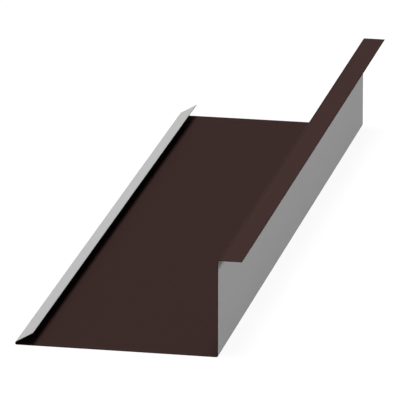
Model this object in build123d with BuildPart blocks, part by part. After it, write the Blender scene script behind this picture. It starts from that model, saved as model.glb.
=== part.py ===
from build123d import *
import os

# Roof abutment flashing, a strip of pre-painted steel sheet that is folded along its length. The base
# lies on the roof and ends in an open hem that turns rain back. The upright stands against the
# masonry, and its lip turns outwards into a slot that is cut there.
# Sizes are in millimetres. X runs across the roof towards the masonry, Y runs along the strip and Z
# is up. The origin lies under the middle of the strip, on the level that it rests on.

# The strip
length = 1000.0
sheet_thickness = 0.5

# The section, measured over the outside of the sheet
base_width = 250.0  # from the fold of the hem to the face against the masonry
upright_height = 122.0  # from the underside of the base to the top of the lip
lip_width = 29.5  # from the painted face of the upright to the cut edge of the lip

# The open hem along the low edge of the base
hem_flat = 24.5  # from the end of the hem's fold to its cut edge
hem_opening = 30.0  # the angle between the base and the hem, in degrees

# Inside radii of the bends
bend_radius = 2.0
fold_radius = 1.7

# The back of the sheet runs round the outside of the fold and of the foot, and inside the shoulder
fold_back_radius = fold_radius + sheet_thickness
foot_back_radius = bend_radius + sheet_thickness
upright_top = upright_height - sheet_thickness - bend_radius
overall_width = base_width - sheet_thickness + lip_width

# The section stands across the strip, its left end half the overall width from the origin
section_plane = Plane(origin=(-overall_width / 2, 0, 0), x_dir=(1, 0, 0), z_dir=(0, -1, 0))

with BuildPart() as flashing_sheet:
    with BuildSketch(section_plane):
        # The back of the sheet, from the cut edge of the hem round to the cut edge of the lip
        with BuildLine():
            base = Line((fold_back_radius, 0), (base_width - foot_back_radius, 0))
            fold = JernArc(base @ 0, (-1, 0), fold_back_radius, hem_opening - 180)
            hem = Line(fold @ 1, fold @ 1 + (fold % 1) * hem_flat)
            foot = JernArc(base @ 1, (1, 0), foot_back_radius, 90)
            upright = Line(foot @ 1, (base_width, upright_top))
            shoulder = JernArc(upright @ 1, (0, 1), bend_radius, -90)
            lip = Line(shoulder @ 1, (overall_width, upright_top + bend_radius))
            # The painted side is one sheet thickness away, on the roof's side of the upright
            offset(amount=sheet_thickness, side=Side.LEFT)
        make_face()
    extrude(amount=length / 2, both=True)

flashing_sheet.part.label = "flashing_sheet"

os.makedirs("parts", exist_ok=True)
export_step(flashing_sheet.part, "parts/flashing_sheet.step")
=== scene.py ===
"""Looks of a roof abutment flashing, a strip of pre-painted steel sheet folded along its length.

Everything is in metres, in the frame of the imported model: X runs across the roof towards the masonry,
Y runs along the strip and Z is up. The strip is one piece, so the sheet is one closed mesh with three
finishes: the brown top coat on the roof's side, the grey back coat and the sheared edges.
"""

import logging
import math
from collections.abc import Sequence
from dataclasses import dataclass, field, replace
from enum import Enum, IntEnum

import bpy
import numpy as np
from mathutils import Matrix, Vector


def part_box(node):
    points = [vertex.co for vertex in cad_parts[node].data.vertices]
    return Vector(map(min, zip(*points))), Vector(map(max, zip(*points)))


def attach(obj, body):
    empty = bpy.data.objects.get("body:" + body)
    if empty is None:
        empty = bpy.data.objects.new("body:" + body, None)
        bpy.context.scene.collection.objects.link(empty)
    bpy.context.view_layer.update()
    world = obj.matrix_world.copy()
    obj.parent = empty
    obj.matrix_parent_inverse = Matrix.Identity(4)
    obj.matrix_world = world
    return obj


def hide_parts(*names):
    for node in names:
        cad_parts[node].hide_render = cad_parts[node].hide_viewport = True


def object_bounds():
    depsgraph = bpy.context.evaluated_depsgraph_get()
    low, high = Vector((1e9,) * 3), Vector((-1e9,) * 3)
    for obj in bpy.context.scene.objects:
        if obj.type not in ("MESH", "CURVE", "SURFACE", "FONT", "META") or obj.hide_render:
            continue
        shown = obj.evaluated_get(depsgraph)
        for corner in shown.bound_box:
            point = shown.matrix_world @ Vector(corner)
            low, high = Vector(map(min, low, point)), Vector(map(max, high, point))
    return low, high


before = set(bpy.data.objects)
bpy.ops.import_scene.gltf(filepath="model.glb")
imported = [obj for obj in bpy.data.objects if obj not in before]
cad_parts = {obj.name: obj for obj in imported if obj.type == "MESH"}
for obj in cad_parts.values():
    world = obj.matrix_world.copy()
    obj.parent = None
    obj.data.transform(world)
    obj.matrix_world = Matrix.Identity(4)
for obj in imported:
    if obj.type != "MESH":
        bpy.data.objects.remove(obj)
cad_lowest, cad_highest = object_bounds()

log = logging.getLogger("roof_abutment_flashing")

SHEET_NODE = "flashing_sheet"
BLANK_MAP = "blank"
EDGE_DISTANCE = "edge_distance"
BEND_DISTANCE = "bend_distance"
MM = 0.001

# How strong each finer layer of a noise is, beside the layer before it
LAYER_STRENGTH = 0.55

# The Mix node's sockets for colours, which share their names with those for numbers and vectors
MIX_FIRST, MIX_SECOND, MIX_RESULT = 6, 7, 2

Colour = tuple[float, float, float]


class Signal:
    """A value socket that can stand in a Python expression: each operator adds one Math node."""

    def __init__(self, graph: "Graph", socket: bpy.types.NodeSocket) -> None:
        """Wraps the output socket of a node in the graph."""
        self.graph = graph
        self.socket = socket

    def _math(self, operation: str, left: "Signal | float", right: "Signal | float") -> "Signal":
        """Adds a Math node and returns its result."""
        return self.graph.signal("ShaderNodeMath", {"operation": operation}, {0: left, 1: right})

    def __add__(self, other: "Signal | float") -> "Signal":
        """Adds."""
        return self._math("ADD", self, other)

    def __radd__(self, other: float) -> "Signal":
        """Adds, with the number on the left."""
        return self._math("ADD", other, self)

    def __sub__(self, other: "Signal | float") -> "Signal":
        """Takes away."""
        return self._math("SUBTRACT", self, other)

    def __rsub__(self, other: float) -> "Signal":
        """Takes this value away from the number on the left."""
        return self._math("SUBTRACT", other, self)

    def __mul__(self, other: "Signal | float") -> "Signal":
        """Multiplies."""
        return self._math("MULTIPLY", self, other)

    def __rmul__(self, other: float) -> "Signal":
        """Multiplies, with the number on the left."""
        return self._math("MULTIPLY", other, self)

    def at_least(self, other: "Signal | float") -> "Signal":
        """Returns the larger of this value and the other."""
        return self._math("MAXIMUM", self, other)


class Detail(Enum):
    """How many finer layers a noise adds to its grains."""

    SMOOTH = 1.0
    SOFT = 2.0
    FINE = 3.0


class Graph:
    """The nodes of one material or world, with one method that adds any kind of node."""

    def __init__(self, tree: bpy.types.NodeTree) -> None:
        """Empties the tree that the graph's nodes go into."""
        self.tree = tree
        self.tree.nodes.clear()

    def node(
        self,
        kind: str,
        settings: dict[str, object] | None = None,
        sockets: dict[str | int, object] | None = None,
    ) -> bpy.types.Node:
        """Adds a node.

        Args:
            kind: the node's type.
            settings: properties of the node, which are set first.
            sockets: the value or link of each input, by name or by number.

        Returns:
            The new node.
        """
        made = self.tree.nodes.new(kind)
        for name, value in (settings or {}).items():
            setattr(made, name, value)
        for name, value in (sockets or {}).items():
            if isinstance(value, Signal):
                value = value.socket
            if isinstance(value, bpy.types.NodeSocket):
                self.tree.links.new(value, made.inputs[name])
            else:
                made.inputs[name].default_value = value
        return made

    def signal(
        self,
        kind: str,
        settings: dict[str, object] | None = None,
        sockets: dict[str | int, object] | None = None,
        output: str | int = 0,
    ) -> Signal:
        """Adds a node, as node does, and returns the output of this name or number as a value."""
        return Signal(self, self.node(kind, settings, sockets).outputs[output])

    def on_piece(self) -> bpy.types.NodeSocket:
        """Returns the place of a point on the piece."""
        return self.node("ShaderNodeTexCoord").outputs["Object"]

    def on_blank(self) -> bpy.types.NodeSocket:
        """Returns the place of a point on the sheet before it is folded, across and along the strip."""
        return self.node("ShaderNodeUVMap", {"uv_map": BLANK_MAP}).outputs["UV"]

    def attribute(self, name: str) -> Signal:
        """Reads a number that the mesh stores at each vertex."""
        return self.signal("ShaderNodeAttribute", {"attribute_name": name}, None, "Fac")

    def near(self, distance: Signal, reach: float) -> Signal:
        """Turns a distance into a mask: 1 at no distance, falling smoothly to 0 at the reach.

        Args:
            distance: the distance, in metres.
            reach: where the mask ends, in metres.

        Returns:
            The mask.
        """
        return self.signal(
            "ShaderNodeMapRange",
            {"interpolation_type": "SMOOTHSTEP"},
            {"Value": distance, "From Min": 0.0, "From Max": reach, "To Min": 1.0, "To Max": 0.0},
        )

    def grain(self, place: bpy.types.NodeSocket, size: float, detail: Detail = Detail.SOFT) -> Signal:
        """Adds noise about zero, from about -0.5 to 0.5.

        Args:
            place: the coordinates that the noise reads, in metres.
            size: the width of one grain, in metres.
            detail: how many finer layers it has.

        Returns:
            The noise.
        """
        noise = self.signal(
            "ShaderNodeTexNoise",
            None,
            {"Vector": place, "Scale": 1.0 / size, "Detail": detail.value, "Roughness": LAYER_STRENGTH},
            "Fac",
        )
        return noise - 0.5

    def stretched(self, place: bpy.types.NodeSocket, factors: Sequence[float]) -> bpy.types.NodeSocket:
        """Multiplies coordinates by a factor for each axis, which stretches what is read from them."""
        made = self.node("ShaderNodeVectorMath", {"operation": "MULTIPLY"}, {0: place, 1: factors})
        return made.outputs["Vector"]

    def toned(self, colour: Colour, tone: Signal) -> bpy.types.NodeSocket:
        """Multiplies a linear colour by a tone that varies over the surface."""
        made = self.node("ShaderNodeVectorMath", {"operation": "SCALE"}, {0: colour, "Scale": tone})
        return made.outputs["Vector"]

    def mixed(
        self,
        share: Signal,
        first: Colour | bpy.types.NodeSocket,
        second: Colour | bpy.types.NodeSocket,
    ) -> bpy.types.NodeSocket:
        """Mixes two colours.

        Args:
            share: 0 gives the first colour and 1 the second.
            first: a linear colour, or a socket that gives one.
            second: a linear colour, or a socket that gives one.

        Returns:
            The mixed colour.
        """
        first, second = (
            (*colour, 1.0) if isinstance(colour, tuple) else colour for colour in (first, second)
        )
        sockets = {"Factor": share, MIX_FIRST: first, MIX_SECOND: second}
        return self.node("ShaderNodeMix", {"data_type": "RGBA"}, sockets).outputs[MIX_RESULT]

    def show(self, shader: bpy.types.Node, output: str = "ShaderNodeOutputMaterial") -> None:
        """Sends a shader to the tree's output, which is a material's unless another is named."""
        self.node(output, None, {"Surface": shader.outputs[0]})


def new_material(name: str) -> tuple[bpy.types.Material, Graph]:
    """Makes an empty material.

    Args:
        name: the material's name.

    Returns:
        The material and the graph that fills it.
    """
    made = bpy.data.materials.new(name)
    made.use_nodes = True
    return made, Graph(made.node_tree)


@dataclass(frozen=True)
class Coating:
    """What the two paints of the sheet have in common.

    Both are rolled on as the sheet runs off its coil, so both have long faint streaks along the strip
    and a fine grain. The shears chip them back from the cut in a ragged line, down to the dark primer,
    and handling marks them a little further in. Over a bend the paint is stretched thin, which makes it
    rougher, and the paint there carries painted shade: a darker tone that stands in for shade on the
    bend.

    Attributes:
        name: the material's name.
        colour: its linear colour.
        roughness: its roughness on the flats.
        specular: how strongly it shines.
        mottle_share: how far the grain moves the tone.
        cloud_share: how far wide soft patches move the tone.
        streak_share: how far the streaks move the tone.
        edge_tone: how much lighter the paint is at a cut edge, or darker if negative.
        edge_reach: how far in from the edge that shows.
        bend_painted_shade: painted shade over a bend, as how much lighter the paint is there, or darker
            if negative.
        bend_reach: how far past the bend that shows.
        bend_roughness: how much rougher the paint is over a bend.
        primer: the linear colour of what the chips lay bare.
        chip_reach: how far in from the edge the chips go.
        chip_ragged: how far their line wanders.
        chip_size: the width of one chip.
        chip_roughness: how much rougher the bare primer is.
        mottle_size: the width of one grain.
        cloud_size: the width of one soft patch.
        streak_size: the width of one streak.
        streak_stretch: how fast a streak changes along the strip, beside how fast it does across it.
        peel_size: the width of one dimple that the roller leaves.
        peel_height: how deep such a dimple is.
        roughness_swing: how far the grain and the streaks move the roughness.
    """

    name: str
    colour: Colour
    roughness: float
    specular: float
    mottle_share: float
    cloud_share: float
    streak_share: float
    edge_tone: float
    edge_reach: float
    bend_painted_shade: float
    bend_reach: float = 2.0 * MM
    bend_roughness: float = 0.05
    primer: Colour = (0.022, 0.018, 0.017)
    chip_reach: float = 0.7 * MM
    chip_ragged: float = 0.5 * MM
    chip_size: float = 1.8 * MM
    chip_roughness: float = 0.15
    mottle_size: float = 0.9 * MM
    cloud_size: float = 140.0 * MM
    streak_size: float = 7.0 * MM
    streak_stretch: float = 0.02
    peel_size: float = 0.7 * MM
    peel_height: float = 0.03 * MM
    roughness_swing: float = 0.12

    def material(self) -> bpy.types.Material:
        """Builds the paint.

        Its tone is 1 and a share of each pattern and of the painted shade over the bends, and its
        colour is multiplied by the tone. The chips show the primer in its place.

        Returns:
            The material.
        """
        made, graph = new_material(self.name)
        on_piece = graph.on_piece()
        mottle = graph.grain(on_piece, self.mottle_size, Detail.FINE)
        cloud = graph.grain(on_piece, self.cloud_size)
        streaks = graph.grain(
            graph.stretched(graph.on_blank(), (1.0, self.streak_stretch, 1.0)), self.streak_size
        )
        peel = graph.grain(on_piece, self.peel_size, Detail.SMOOTH)
        ragged = self.chip_ragged * graph.grain(on_piece, self.chip_size, Detail.FINE)

        to_edge = graph.attribute(EDGE_DISTANCE)
        at_edge = graph.near(to_edge, self.edge_reach)
        at_bend = graph.near(graph.attribute(BEND_DISTANCE), self.bend_reach)
        chipped = graph.near(to_edge + ragged, self.chip_reach)

        tone = 1.0 + self.mottle_share * mottle + self.cloud_share * cloud + self.streak_share * streaks
        # The bend term is painted shade: it darkens the paint over each bend.
        tone = tone + self.edge_tone * at_edge * (1.0 + mottle) + self.bend_painted_shade * at_bend
        roughness = self.roughness + self.roughness_swing * (streaks + mottle)
        roughness = roughness + self.bend_roughness * at_bend + self.chip_roughness * chipped
        dimples = graph.node("ShaderNodeBump", None, {"Distance": self.peel_height, "Height": peel})
        paint = graph.node(
            "ShaderNodeBsdfPrincipled",
            None,
            {
                "Base Color": graph.mixed(chipped, graph.toned(self.colour, tone), self.primer),
                "Roughness": roughness,
                "Specular IOR Level": self.specular,
                "Normal": dimples.outputs["Normal"],
            },
        )
        graph.show(paint)
        return made


@dataclass(frozen=True)
class ShearedEdge:
    """The edge that the shears leave: dull steel with paint and zinc smeared over it in patches.

    Attributes:
        name: the material's name.
        steel: the linear colour of the steel.
        smear: the linear colour of what is smeared over it.
        roughness: its roughness.
        roughness_swing: how far the patches move the roughness.
        metallic: how much of it looks like bare metal.
        specular: how strongly the rest shines.
        patch_size: the width of one patch.
    """

    name: str = "sheared_edge"
    steel: Colour = (0.040, 0.036, 0.034)
    smear: Colour = (0.020, 0.014, 0.012)
    roughness: float = 0.6
    roughness_swing: float = 0.2
    metallic: float = 0.2
    specular: float = 0.02
    patch_size: float = 1.5 * MM

    def material(self) -> bpy.types.Material:
        """Builds the bare metal with paint smeared over it.

        Returns:
            The material.
        """
        made, graph = new_material(self.name)
        patches = graph.grain(graph.on_piece(), self.patch_size, Detail.FINE)
        smeared = 0.5 + patches
        edge = graph.node(
            "ShaderNodeBsdfPrincipled",
            None,
            {
                "Base Color": graph.mixed(smeared, self.steel, self.smear),
                "Roughness": self.roughness + self.roughness_swing * patches,
                "Metallic": self.metallic,
                "Specular IOR Level": self.specular,
            },
        )
        graph.show(edge)
        return made


class Surface(IntEnum):
    """The kinds of surface on the sheet, in the order of its material slots."""

    TOP_COAT = 0
    BACK_COAT = 1
    SHEARED_EDGE = 2


class Hold(Enum):
    """How a run of the section is held, which says where it can spring out of flat."""

    AT_BOTH_BENDS = "at both bends"
    AFTER_ITS_START = "only at its start"
    BEFORE_ITS_END = "only at its end"
    IS_A_BEND = "is a bend"


@dataclass(frozen=True)
class Run:
    """One run of the section, flat or bent, along the middle of the sheet.

    Attributes:
        length: its developed length.
        turn: how far it turns to the left on its way, in radians.
        hold: how the run is held.
        spring: how far the run springs out of flat, towards the painted side if positive.
        pitch: the longest step between two stations.
    """

    length: float
    turn: float
    hold: Hold
    spring: float
    pitch: float

    def stations(self) -> np.ndarray:
        """Returns evenly spaced distances along the run, from its start to its end."""
        count = max(1, math.ceil(self.length / self.pitch))
        return np.append(np.arange(count) * self.length / count, self.length)

    def way(self, angle: float, along: np.ndarray) -> tuple[np.ndarray, np.ndarray]:
        """Follows the run from its start.

        A flat run goes straight on. On a bent run the heading grows evenly, so the way is the change of
        the heading's sine and of its negative cosine, over the curvature.

        Args:
            angle: the heading at the start, in radians.
            along: distances along the run.

        Returns:
            The way from the start to each distance, as x and z, and the heading there.
        """
        curvature = self.turn / self.length
        heading = angle + curvature * along
        if self.turn:
            way = np.stack([np.sin(heading) - math.sin(angle), math.cos(angle) - np.cos(heading)])
            return way / curvature, heading
        return along * np.array([[math.cos(angle)], [math.sin(angle)]]), heading

    def to_bend(self, along: np.ndarray) -> np.ndarray:
        """Measures how far the nearest bend is.

        Args:
            along: distances along the run.

        Returns:
            The distance to the bend at each, and 0 on a bend.
        """
        match self.hold:
            case Hold.AT_BOTH_BENDS:
                return np.minimum(along, self.length - along)
            case Hold.AFTER_ITS_START:
                return along
            case Hold.BEFORE_ITS_END:
                return self.length - along
            case _:
                return np.zeros_like(along)

    def swell(self, along: np.ndarray) -> np.ndarray:
        """Says how free the sheet is to spring.

        It is a half sine wave between two bends, and the square of the share of the way from the one
        bend to the free edge.

        Args:
            along: distances along the run.

        Returns:
            0 where the sheet is held and 1 where it is free.
        """
        share = along / self.length
        match self.hold:
            case Hold.AT_BOTH_BENDS:
                return np.sin(np.pi * share)
            case Hold.AFTER_ITS_START:
                return share**2
            case Hold.BEFORE_ITS_END:
                return (1.0 - share) ** 2
            case _:
                return np.zeros_like(share)


@dataclass(frozen=True)
class Section:
    """The middle of the sheet in the section's plane, station by station from the hem to the lip.

    Attributes:
        x: where each station lies across the roof.
        z: how high it lies.
        heading: which way the section runs there, in radians.
        reach: its developed distance from the hem's cut edge.
        to_bend: its distance to the nearest bend.
        spring: how far the sheet springs out of flat there.
    """

    x: np.ndarray
    z: np.ndarray
    heading: np.ndarray
    reach: np.ndarray
    to_bend: np.ndarray
    spring: np.ndarray

    @classmethod
    def of(cls, runs: Sequence[Run], angle: float) -> "Section":
        """Joins runs end to end, from the origin on. Where two meet, the station is the second's.

        Args:
            runs: the runs, in order.
            angle: the heading at the start of the first, in radians.

        Returns:
            The section.
        """
        start, gone, parts = np.zeros((2, 1)), 0.0, []
        for run in runs:
            along = run.stations()
            way, heading = run.way(angle, along)
            x, z = start + way
            spring = run.spring * run.swell(along)
            parts.append(np.stack([x, z, heading, gone + along, run.to_bend(along), spring]))
            start, angle, gone = start + way[:, -1:], heading[-1], gone + run.length
        joined = [part[:, :-1] for part in parts[:-1]] + parts[-1:]
        return cls(*np.concatenate(joined, axis=1))

    def moved(self, x: float | np.ndarray, z: float | np.ndarray) -> "Section":
        """Returns the section moved in its plane, as a whole or by a distance for each station."""
        return replace(self, x=self.x + x, z=self.z + z)

    def drawn_in(self, inset: float) -> "Section":
        """Draws both cut edges in along the sheet, which makes room for the rim's rounding.

        Args:
            inset: how far each edge is drawn in.

        Returns:
            The section with its first and last stations moved.
        """
        pull = np.zeros_like(self.reach)
        pull[0], pull[-1] = inset, -inset
        moved = self.moved(pull * np.cos(self.heading), pull * np.sin(self.heading))
        return replace(moved, reach=self.reach + pull)


def border(stations: int, rows: int) -> tuple[np.ndarray, np.ndarray]:
    """Walks once round the border of a grid.

    Args:
        stations: how many stations the grid has.
        rows: how many rows it has.

    Returns:
        The station and the row of each point on the way.
    """
    top, right = stations - 1, rows - 1
    station = [np.arange(top), np.full(right, top), np.arange(top, 0, -1), np.zeros(right, int)]
    row = [np.zeros(top, int), np.arange(right), np.full(top, right), np.arange(right, 0, -1)]
    return np.concatenate(station), np.concatenate(row)


def quads(*corners: np.ndarray) -> np.ndarray:
    """Makes one face of each set of four vertex numbers, given as one grid for each corner."""
    return np.stack(corners, -1).reshape(-1, len(corners))


@dataclass(frozen=True)
class Skin:
    """The arrays of a mesh of four-sided faces.

    Attributes:
        places: the vertices.
        faces: four vertex numbers for each face.
        kinds: the kind of surface of each face.
        blank: where each vertex lies on the sheet before it is folded, across and along the strip.
        distances: a number for each vertex, under the name of its attribute.
    """

    places: np.ndarray
    faces: np.ndarray
    kinds: np.ndarray
    blank: np.ndarray
    distances: dict[str, np.ndarray]

    def to_object(self, name: str) -> bpy.types.Object:
        """Puts the arrays into a mesh.

        Args:
            name: the object's name.

        Returns:
            The object, in the scene.
        """
        sides = self.faces.shape[1]
        mesh = bpy.data.meshes.new(name)
        mesh.vertices.add(len(self.places))
        mesh.vertices.foreach_set("co", self.places.astype(np.float32).ravel())
        mesh.loops.add(self.faces.size)
        mesh.loops.foreach_set("vertex_index", self.faces.astype(np.int32).ravel())
        mesh.polygons.add(len(self.faces))
        mesh.polygons.foreach_set("loop_start", np.arange(0, self.faces.size, sides, dtype=np.int32))
        mesh.polygons.foreach_set("material_index", self.kinds.astype(np.int32))
        mesh.polygons.foreach_set("use_smooth", np.ones(len(self.faces), bool))
        mesh.update(calc_edges=True)
        flat = mesh.uv_layers.new(name=BLANK_MAP)
        flat.data.foreach_set("uv", self.blank[self.faces.ravel()].astype(np.float32).ravel())
        for title, values in self.distances.items():
            stored = mesh.attributes.new(title, "FLOAT", "POINT")
            stored.data.foreach_set("value", values.astype(np.float32))
        mesh.validate()
        made = bpy.data.objects.new(name, mesh)
        bpy.context.scene.collection.objects.link(made)
        return made


@dataclass
class FoldedSheet:
    """The strip: one sheet, folded into a hem, a base, an upright and a lip.

    Attributes:
        thickness: the sheet's thickness.
        lip_width: from the painted face of the upright to the lip's cut edge.
        hem_flat: from the end of the hem's fold to its cut edge.
        hem_opening: the angle between the base and the hem, in radians.
        bend_radius: the inside radius of the two square bends.
        fold_radius: the inside radius of the hem's fold.
        edge_rounding: how far the cut edges are rounded.
        edge_squareness: the power that squares the cut edges: 1 leaves them round.
        edge_rows: how many rows of vertices run along a cut edge.
        flat_pitch: the step between stations on the base and the upright.
        bend_pitch: the step between stations on a bend.
        flange_pitch: the step between stations on the hem and the lip.
        length_pitch: the step between rows along the strip.
        end_steps: how far from the strip's end the rows near it are.
        base_spring: how far the base springs out of flat.
        upright_spring: how far the upright does.
        lip_spring: how far the lip does.
        hem_spring: how far the hem does.
        waves: how many waves the spring is made of.
        longest_wave: the length of the longest of them.
        wave_shortening: how much shorter each is, as a share of the longest.
        wave_drift: how far a wave's phase may drift over a metre across the strip, in radians.
        seed: where the random phases start.
        left: where the fold's outside lies across the roof. It and the next three sizes come from
            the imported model's box.
        base_width: from the fold's outside to the upright's back.
        height: from the base's underside to the top of the lip.
        length: the strip's length.
    """

    thickness: float = 0.5 * MM
    lip_width: float = 29.5 * MM
    hem_flat: float = 24.5 * MM
    hem_opening: float = math.radians(30.0)
    bend_radius: float = 2.0 * MM
    fold_radius: float = 1.7 * MM
    edge_rounding: float = 0.1 * MM
    edge_squareness: float = 0.35
    edge_rows: int = 7
    flat_pitch: float = 5.0 * MM
    bend_pitch: float = 0.25 * MM
    flange_pitch: float = 1.5 * MM
    length_pitch: float = 8.0 * MM
    end_steps: tuple[float, ...] = (0.0, 1.0 * MM, 3.0 * MM, 6.0 * MM)
    base_spring: float = 0.22 * MM
    upright_spring: float = 0.16 * MM
    lip_spring: float = -0.12 * MM
    hem_spring: float = 0.15 * MM
    waves: int = 5
    longest_wave: float = 0.62
    wave_shortening: float = 0.7
    wave_drift: float = 4.0
    seed: int = 8017
    left: float = field(init=False)
    base_width: float = field(init=False)
    height: float = field(init=False)
    length: float = field(init=False)

    def __post_init__(self) -> None:
        """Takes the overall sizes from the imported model's box."""
        lowest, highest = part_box(SHEET_NODE)
        self.left = lowest.x
        self.base_width = highest.x - lowest.x + self.thickness - self.lip_width
        self.height = highest.z - lowest.z
        self.length = highest.y - lowest.y

    def runs(self) -> list[Run]:
        """Works out the runs of the section from its outside sizes.

        A bend's run is the arc of the sheet's middle, and a flat is what its bends leave of the size.

        Returns:
            The runs, from the hem's cut edge to the lip's.
        """
        half = self.thickness / 2
        fold_outside = self.fold_radius + self.thickness
        foot_outside = self.bend_radius + self.thickness
        fold_turn = math.pi - self.hem_opening
        quarter = math.pi / 2
        bend = (Hold.IS_A_BEND, 0.0, self.bend_pitch)
        base_flat = self.base_width - fold_outside - foot_outside
        upright_flat = self.height - self.thickness - self.bend_radius - foot_outside
        lip_flat = self.lip_width - self.thickness - self.bend_radius
        return [
            Run(self.hem_flat, 0.0, Hold.BEFORE_ITS_END, self.hem_spring, self.flange_pitch),
            Run((self.fold_radius + half) * fold_turn, fold_turn, *bend),
            Run(base_flat, 0.0, Hold.AT_BOTH_BENDS, self.base_spring, self.flat_pitch),
            Run((self.bend_radius + half) * quarter, quarter, *bend),
            Run(upright_flat, 0.0, Hold.AT_BOTH_BENDS, self.upright_spring, self.flat_pitch),
            Run((self.bend_radius + half) * quarter, -quarter, *bend),
            Run(lip_flat, 0.0, Hold.AFTER_ITS_START, self.lip_spring, self.flange_pitch),
        ]

    def section(self) -> Section:
        """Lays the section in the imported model's box.

        Returns:
            The section, with the fold's outside on the box's left and the base's back on its bottom.
        """
        drawn = Section.of(self.runs(), math.pi + self.hem_opening)
        half = self.thickness / 2
        return drawn.moved(self.left + half - drawn.x.min(), half - drawn.z.min())

    def rows(self) -> np.ndarray:
        """Works out the rows of vertices along the strip: even, and closer together near its ends.

        Returns:
            Each row's place along the strip.
        """
        end, close = self.length / 2 - self.edge_rounding, np.asarray(self.end_steps)
        count = round(2 * (end - close[-1]) / self.length_pitch)
        even = np.linspace(close[-1] - end, end - close[-1], count + 1)
        return np.concatenate([close[:-1] - end, even, end - close[-2::-1]])

    def ripple(self, reach: np.ndarray, along: np.ndarray) -> np.ndarray:
        """Says how the sheet waves along its length, between 0 and 1.

        It is the mean of a few sine waves along the strip, each shorter than the one before, that
        drift a little across it.

        Args:
            reach: the developed distance across the strip.
            along: the distance along the strip.

        Returns:
            One value for each pair.
        """
        draw = np.random.default_rng(self.seed)
        total = np.zeros(np.broadcast(reach, along).shape)
        for number in range(self.waves):
            wavelength = self.longest_wave / (1.0 + self.wave_shortening * number)
            phase = draw.uniform(0.0, 2 * np.pi)
            drift = draw.uniform(-self.wave_drift, self.wave_drift)
            total = total + np.sin(2 * np.pi * along / wavelength + phase + drift * reach)
        return 0.5 + 0.5 * total / self.waves

    def place(
        self,
        section: Section,
        station: np.ndarray,
        along: np.ndarray,
        depth: np.ndarray | float,
        outward: tuple[np.ndarray, np.ndarray] | tuple[float, float] = (0.0, 0.0),
    ) -> np.ndarray:
        """Gives points of the sheet.

        A point is the section's middle at its station, moved along the sheet's normal by its depth
        and by the ripple, moved outward in the sheet's own plane, and carried along the strip.

        Args:
            section: the section.
            station: the station of each point.
            along: the place of each point along the strip.
            depth: how far each point is from the sheet's middle, towards the painted side.
            outward: how far each point is moved on along the section and along the strip.

        Returns:
            The points, with their coordinates last.
        """
        heading = section.heading[station]
        lift = depth + section.spring[station] * self.ripple(section.reach[station], along)
        x = section.x[station] - lift * np.sin(heading) + outward[0] * np.cos(heading)
        z = section.z[station] + lift * np.cos(heading) + outward[0] * np.sin(heading)
        return np.stack(np.broadcast_arrays(x, along + outward[1], z), -1)

    def rim(
        self, section: Section, along: np.ndarray, station: np.ndarray, row: np.ndarray
    ) -> np.ndarray:
        """Gives the points of the cut edges.

        The profile runs from the painted side to the back. It is a half circle whose sine and cosine
        are raised to a power below 1, which makes it a square with rounded corners.

        Args:
            section: the section.
            along: the rows' places along the strip.
            station: the station of each point of the border.
            row: the row of each point of the border.

        Returns:
            The points, one profile for each point of the border.
        """
        round_by = np.linspace(0.0, np.pi, self.edge_rows + 2)[1:-1]
        out = self.edge_rounding * np.abs(np.sin(round_by)) ** self.edge_squareness
        side = np.cos(round_by)
        depth = self.thickness / 2 * np.sign(side) * np.abs(side) ** self.edge_squareness
        on_section = (station == station.max()).astype(float) - (station == 0)
        on_strip = (row == row.max()).astype(float) - (row == 0)
        outward = (on_section[:, None] * out, on_strip[:, None] * out)
        return self.place(section, station[:, None], along[row][:, None], depth, outward)

    def skin(self) -> Skin:
        """Works out the sheet as one closed surface.

        The painted side and the back are the same grid of stations and rows, half a thickness to each
        side of the sheet's middle. The rim runs round the whole sheet and joins their borders.

        Returns:
            The surface's arrays.
        """
        whole, along = self.section(), self.rows()
        section = whole.drawn_in(self.edge_rounding)
        station, row = np.indices((len(section.x), len(along)))
        painted, back = (
            self.place(section, station, along[row], side * self.thickness / 2) for side in (1, -1)
        )
        border_station, border_row = border(*station.shape)
        rim = self.rim(section, along, border_station, border_row)

        number = np.arange(station.size).reshape(station.shape)
        painted_faces = quads(number[:-1, :-1], number[1:, :-1], number[1:, 1:], number[:-1, 1:])
        back_faces = painted_faces[:, ::-1] + number.size
        on_border = number[border_station, border_row]
        rim_number = 2 * number.size + np.arange(rim[..., 0].size).reshape(rim.shape[:2])
        profile = np.column_stack([on_border, rim_number, on_border + number.size])
        after = np.roll(profile, -1, 0)
        rim_faces = quads(profile[:, :-1], profile[:, 1:], after[:, 1:], after[:, :-1])

        on_rim = [np.repeat(part, self.edge_rows) for part in (border_station, border_row)]
        station = np.concatenate([station.ravel(), station.ravel(), on_rim[0]])
        row = np.concatenate([row.ravel(), row.ravel(), on_rim[1]])
        reach, level = section.reach[station], along[row]
        to_edge = np.minimum.reduce(
            [reach, whole.reach[-1] - reach, self.length / 2 + level, self.length / 2 - level]
        )
        return Skin(
            places=np.concatenate([part.reshape(-1, 3) for part in (painted, back, rim)]),
            faces=np.concatenate([painted_faces, back_faces, rim_faces]),
            kinds=np.repeat(list(Surface), [len(painted_faces), len(back_faces), len(rim_faces)]),
            blank=np.stack([reach, level], -1),
            distances={EDGE_DISTANCE: to_edge, BEND_DISTANCE: section.to_bend[station]},
        )

    def build(self) -> bpy.types.Object:
        """Returns the sheet's object, with its blank as a UV map and its distances as attributes."""
        return self.skin().to_object(SHEET_NODE + "_dressed")

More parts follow.
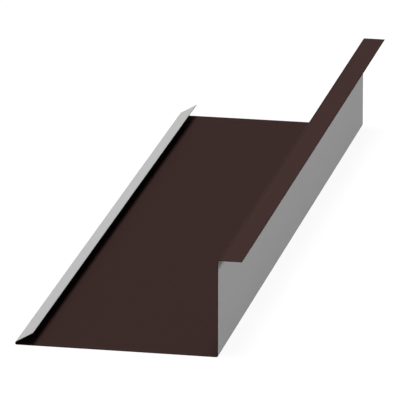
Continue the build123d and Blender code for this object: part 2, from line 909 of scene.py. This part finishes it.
    def dress(self, sheet: bpy.types.Object) -> None:
        """Gives the sheet its paints and its bare edges.

        Args:
            sheet: the sheet's object.
        """
        top_coat = Coating(
            name="chocolate_brown_top_coat",
            colour=(0.0595, 0.0331, 0.0296),
            roughness=0.62,
            specular=0.002,
            mottle_share=0.75,
            cloud_share=0.05,
            streak_share=0.08,
            edge_tone=-0.1,
            edge_reach=3.0 * MM,
            # Painted shade: the brown is made a fifth darker over each bend.
            bend_painted_shade=-0.2,
        )
        back_coat = Coating(
            name="grey_back_coat",
            colour=(0.425, 0.425, 0.425),
            roughness=0.5,
            specular=0.05,
            mottle_share=0.3,
            cloud_share=0.05,
            streak_share=0.04,
            edge_tone=0.03,
            edge_reach=2.5 * MM,
            # Painted shade: the grey is made a little darker over each bend.
            bend_painted_shade=-0.05,
        )
        for finish in (top_coat, back_coat, ShearedEdge()):
            sheet.data.materials.append(finish.material())


def way_to(azimuth: float, elevation: float) -> Vector:
    """Returns the direction of a place round the object.

    Args:
        azimuth: in degrees, from +X towards +Y.
        elevation: in degrees above the floor.

    Returns:
        A vector of length 1.
    """
    round_by, up_by = math.radians(azimuth), math.radians(elevation)
    level_part = math.cos(up_by)
    return Vector((level_part * math.cos(round_by), level_part * math.sin(round_by), math.sin(up_by)))


def hung(lamp: bpy.types.Light, middle: Vector, way: Vector, distance: float) -> bpy.types.Object:
    """Hangs a lamp where it faces the object, out of the camera's sight.

    Args:
        lamp: the lamp's data.
        middle: the point that it faces.
        way: the direction from that point to the lamp.
        distance: how far away it hangs.

    Returns:
        The lamp's object.
    """
    made = bpy.data.objects.new(lamp.name, lamp)
    made.location = middle + way * distance
    made.rotation_mode = "QUATERNION"
    made.rotation_quaternion = way.to_track_quat("Z", "Y")
    made.visible_camera = made.visible_glossy = False
    bpy.context.scene.collection.objects.link(made)
    return made


@dataclass(frozen=True)
class Softbox:
    """A flat soft lamp that faces the object.

    Attributes:
        name: what the lamp is for.
        azimuth: where it stands round the object, in degrees, from +X towards +Y.
        elevation: how high it stands, in degrees above the floor.
        distance: how far it is from the object's middle.
        width: its level side.
        height: its other side.
        level: what a white surface that faces it would render as.
    """

    name: str
    azimuth: float
    elevation: float
    distance: float
    width: float
    height: float
    level: float

    def share_of_view(self) -> float:
        """Says how much of what a facing surface sees is the lamp, weighted by the cosine.

        It is the view factor from a small parallel surface to a rectangle with half sides a and b, in
        units of the distance: 2 over pi, times the sum of a / A * atan(b / A) and b / B * atan(a / B),
        where A is the root of 1 plus a squared and B the root of 1 plus b squared.

        Returns:
            The share, from 0 to 1.
        """
        a, b = 0.5 * self.width / self.distance, 0.5 * self.height / self.distance
        root_a, root_b = math.hypot(1.0, a), math.hypot(1.0, b)
        both = a / root_a * math.atan(b / root_a) + b / root_b * math.atan(a / root_b)
        return both * 2.0 / math.pi

    def build(self, middle: Vector) -> bpy.types.Object:
        """Makes the lamp.

        Args:
            middle: the point that it faces.

        Returns:
            The lamp's object.
        """
        lamp = bpy.data.lights.new(self.name, "AREA")
        lamp.shape = "RECTANGLE"
        lamp.size, lamp.size_y = self.width, self.height
        lamp.energy = self.level * math.pi * self.width * self.height / self.share_of_view()
        return hung(lamp, middle, way_to(self.azimuth, self.elevation), self.distance)


@dataclass(frozen=True)
class CeilingLight:
    """A broad soft light from high above, which is even over the whole floor.

    Attributes:
        name: what the lamp is for.
        azimuth: where it stands round the object, in degrees, from +X towards +Y.
        elevation: how high it stands, in degrees above the floor.
        spread: how wide it looks from below, in degrees.
        level: what a white surface that faces it would render as.
        distance: where it hangs, which makes no difference to its light.
    """

    name: str
    azimuth: float
    elevation: float
    spread: float
    level: float
    distance: float = 3.0

    def build(self, middle: Vector) -> bpy.types.Object:
        """Makes the lamp.

        Args:
            middle: the point that it faces.

        Returns:
            The lamp's object.
        """
        lamp = bpy.data.lights.new(self.name, "SUN")
        lamp.angle = math.radians(self.spread)
        lamp.energy = self.level * math.pi
        return hung(lamp, middle, way_to(self.azimuth, self.elevation), self.distance)


@dataclass
class Studio:
    """The plain white surroundings: a floor, an even backdrop and soft lamps.

    Attributes:
        floor_size: the side of the square floor.
        floor_white: how white the floor is by itself, where it is seen.
        floor_colour: how much of the lamps' light it gives back, which is what a shadow takes away.
        ambient: the level of the faint light from all round.
        lamps: the lamps.
    """

    floor_size: float = 60.0
    floor_white: float = 0.9
    floor_colour: float = 0.16
    ambient: float = 0.02
    lamps: tuple[CeilingLight | Softbox, ...] = (
        CeilingLight(name="ceiling_light", azimuth=180.0, elevation=87.85, spread=25.0, level=0.65),
        Softbox(
            name="right_softbox",
            azimuth=0.0,
            elevation=20.5,
            distance=6.0,
            width=2.4,
            height=1.5,
            level=0.44,
        ),
        Softbox(
            name="low_left_softbox",
            azimuth=180.0,
            elevation=3.2,
            distance=6.0,
            width=1.0,
            height=0.1,
            level=0.84,
        ),
    )

    def seen_directly(self, graph: Graph) -> Signal:
        """Tells rays that show the surroundings, to the camera, in gloss or through glass.

        Args:
            graph: the graph that asks.

        Returns:
            1 for such rays and 0 for the rest, which only light the object.
        """
        rays = graph.node("ShaderNodeLightPath").outputs
        straight, glossy, through = (
            Signal(graph, rays[name])
            for name in ("Is Camera Ray", "Is Glossy Ray", "Is Transmission Ray")
        )
        return straight.at_least(glossy).at_least(through)

    def build_floor(self) -> bpy.types.Object:
        """Makes the floor: pale, with the object's soft shadow on it.

        Returns:
            The floor's object.
        """
        half = self.floor_size / 2
        mesh = bpy.data.meshes.new("studio_floor")
        corners = [(-half, -half, 0.0), (half, -half, 0.0), (half, half, 0.0), (-half, half, 0.0)]
        mesh.from_pydata(corners, [], [range(len(corners))])
        floor = bpy.data.objects.new(mesh.name, mesh)
        bpy.context.scene.collection.objects.link(floor)
        finish, graph = new_material(mesh.name)
        grey = (self.floor_colour, self.floor_colour, self.floor_colour, 1.0)
        lit = graph.node("ShaderNodeBsdfDiffuse", None, {"Color": grey})
        strength = self.floor_white * self.seen_directly(graph)
        white = graph.node("ShaderNodeEmission", None, {"Strength": strength})
        graph.show(graph.node("ShaderNodeAddShader", None, {0: lit.outputs[0], 1: white.outputs[0]}))
        mesh.materials.append(finish)
        return floor

    def build_world(self) -> bpy.types.World:
        """Makes the backdrop: white where it is seen, and a faint even light elsewhere.

        Returns:
            The world.
        """
        world = bpy.data.worlds.new("studio_backdrop")
        world.use_nodes = True
        graph = Graph(world.node_tree)
        strength = self.ambient + (1.0 - self.ambient) * self.seen_directly(graph)
        white = (1.0, 1.0, 1.0, 1.0)
        light = graph.node("ShaderNodeBackground", None, {"Color": white, "Strength": strength})
        graph.show(light, "ShaderNodeOutputWorld")
        bpy.context.scene.world = world
        return world

    def build(self, middle: Vector) -> None:
        """Makes the floor, the backdrop and the lamps.

        Args:
            middle: the point that the lamps face.
        """
        log.info("%s: %.0f m square", self.build_floor().name, self.floor_size)
        log.info("%s: ambient level %.2f", self.build_world().name, self.ambient)
        for lamp in self.lamps:
            log.info("%s: level %.2f", lamp.build(middle).name, lamp.level)


@dataclass(frozen=True)
class Camera:
    """The camera at the photograph's viewing angle, with a long lens.

    Attributes:
        azimuth: where it stands round the object, in degrees, from +X towards +Y.
        elevation: how high it stands, in degrees above the floor.
        distance: how far it stands from its target.
        target: the point in the middle of the picture.
        focal_pixels: the focal length, in pixels of a picture that is picture_size wide.
        picture_size: the picture's width.
        sensor: the sensor's width, in millimetres.
    """

    azimuth: float = -78.65
    elevation: float = 17.13
    distance: float = 8.02
    target: tuple[float, float, float] = (0.0663, -0.3902, 0.162)
    focal_pixels: float = 6625.1
    picture_size: int = 400
    sensor: float = 36.0

    def build(self) -> bpy.types.Object:
        """Makes the camera and hands it to the scene.

        Returns:
            The camera's object.
        """
        data = bpy.data.cameras.new("photograph_camera")
        data.sensor_width = self.sensor
        data.lens = self.focal_pixels / self.picture_size * self.sensor
        made = bpy.data.objects.new(data.name, data)
        back = way_to(self.azimuth, self.elevation)
        made.location = Vector(self.target) + back * self.distance
        made.rotation_mode = "QUATERNION"
        made.rotation_quaternion = (-back).to_track_quat("-Z", "Y")
        bpy.context.scene.collection.objects.link(made)
        bpy.context.scene.camera = made
        return made


def main() -> None:
    """Builds the camera, the studio and the sheet, and reports each."""
    logging.basicConfig(level=logging.INFO, format="%(name)s: %(message)s")
    bpy.context.scene.view_settings.view_transform = "Standard"
    camera = Camera().build()
    log.info("%s: lens %.1f mm", camera.name, camera.data.lens)
    Studio().build((cad_lowest + cad_highest) / 2)

    strip = FoldedSheet()
    sheet = strip.build()
    strip.dress(sheet)
    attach(sheet, "root")
    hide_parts(SHEET_NODE)
    log.info("%s: %d faces", sheet.name, len(sheet.data.polygons))


if __name__ == "__main__":
    main()
